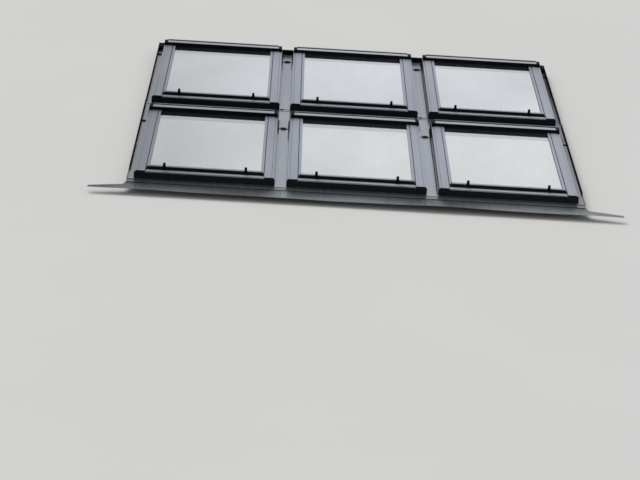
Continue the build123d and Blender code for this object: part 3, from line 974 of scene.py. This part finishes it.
# %% Beads at the laps
bead_half_length = 0.046
bead_radius = 0.0014
bead_stretch = 1.6
swelling = 0.0026
swelling_place = -0.019
swelling_width = 0.012
bead_steps = 48


def lap_bead(middle, line, base):
    """Grid of points for a bead across a channel: u runs along X over the bead's length, and angle
    t once around the profile, which is flat underneath. The size is the stretch times the sum of
    the thin radius and the swelling, which is its height times the exponential of minus the square
    of the distance from its place over its width. It is nought at the tips, which closes them."""
    u = np.linspace(-bead_half_length, bead_half_length, bead_steps)
    radius = bead_radius + swelling * np.exp(-(((u - swelling_place) / swelling_width) ** 2))
    radius[[0, -1]] = 0.0
    size = bead_stretch * radius[:, None]
    x = np.repeat(middle + u[:, None], len(around), axis=1)
    y = line + size * np.cos(around)
    z = base + size * np.maximum(np.sin(around), 0.0)
    return np.stack([x, y, z], axis=2)


upper_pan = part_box("upper_channel_pans")[1].z
channel_middles = [channel * column_pitch / 2 for channel in (-1, 1)]
lap_grids = [lap_bead(middle, row_feet["upper"], upper_pan) for middle in channel_middles]
beads = surface("lap_beads", lap_grids, wrap=True)
beads.data.materials.append(finishes["seal_rubber"])
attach(beads, "root")
print("lap beads:", len(beads.data.polygons), "faces")

# %% [markdown]
# ## Feet of the hooks
#
# Each black hook widens where it stands on the glazing bar. The hooks themselves come from the
# CAD model, and two small curved wedges, one on each side, give them their feet. A bevel between
# hook and bar would need the two solids joined, and the wedges only stand beside them.

# %% Hook feet
hook_offset = 0.279
hook_half = 0.009
foot_flare = 0.0048
foot_least = 0.0001
foot_height = 0.014
foot_behind = 0.0455
foot_depth = 0.0065
foot_steps = 8


def hook_foot(middle, hand, near, level):
    """Grid of points for a wedge: s runs up its height, and each row goes once around a rectangle.
    Its width is the least width plus the flare times the square of one less s. The first and last
    rows shrink to no width and no depth, which closes the wedge."""
    s = np.concatenate([[0.0], np.linspace(0.0, 1.0, foot_steps), [1.0]])
    width = foot_flare * (1.0 - s) ** 2 + foot_least
    width[[0, -1]] = 0.0
    depth = np.full(len(s), foot_depth)
    depth[[0, -1]] = 0.0
    side_in = np.full(len(s), hook_half)
    side_out = side_in + width
    lowest, highest = (side_in, side_out) if hand > 0 else (-side_out, -side_in)
    x = middle + np.stack([lowest, highest, highest, lowest], axis=1)
    y = near + np.stack([0.0 * depth, 0.0 * depth, depth, depth], axis=1)
    z = level + np.repeat(foot_height * s[:, None], 4, axis=1)
    return np.stack([x, y, z], axis=2)


wedges = []
for row, foot in row_feet.items():
    bar_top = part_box(row + "_glazing_bars")[1].z
    for column in (-1, 0, 1):
        for hook in (-1, 1):
            middle = column * column_pitch + hook * hook_offset
            wedges += [hook_foot(middle, hand, foot + foot_behind, bar_top) for hand in (-1, 1)]
feet = surface("hook_feet", wedges, wrap=True)
feet.data.materials.append(finishes["black_plastic"])
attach(feet, "root")
print("hook feet:", len(feet.data.polygons), "faces")

# %% [markdown]
# ## The floor
#
# A plain pale floor lies under the bank and keeps its shadow. One large square would do with a
# single colour, and a slow noise between two near greys keeps it from looking painted.

# %% Floor
floor_half = 60.0
cloud_stretch = (0.6, 0.6, 0.6)
floor_grey = (0.62, 0.62, 0.61, 1.0)
floor_pale = (0.66, 0.66, 0.65, 1.0)

floor_corners = np.array([[[-1, -1, 0], [1, -1, 0]], [[-1, 1, 0], [1, 1, 0]]], float)
floor = surface("floor", [floor_half * floor_corners])
floor_material = bpy.data.materials.new("pale_floor")
floor_material.use_nodes = True
floor_tree = floor_material.node_tree
floor_shader = fill(floor_tree.nodes["Principled BSDF"], Roughness=0.9, Specular_IOR_Level=0.1)
floor_place = add(floor_tree, "ShaderNodeTexCoord").outputs["Object"]
cloudy = stretched_noise(floor_tree, floor_place, cloud_stretch, detail=2.0)
plug(floor_tree, blended(floor_tree, cloudy, floor_grey, floor_pale), floor_shader.inputs["Base Color"])
floor.data.materials.append(floor_material)
print("floor", 2 * floor_half, "wide")
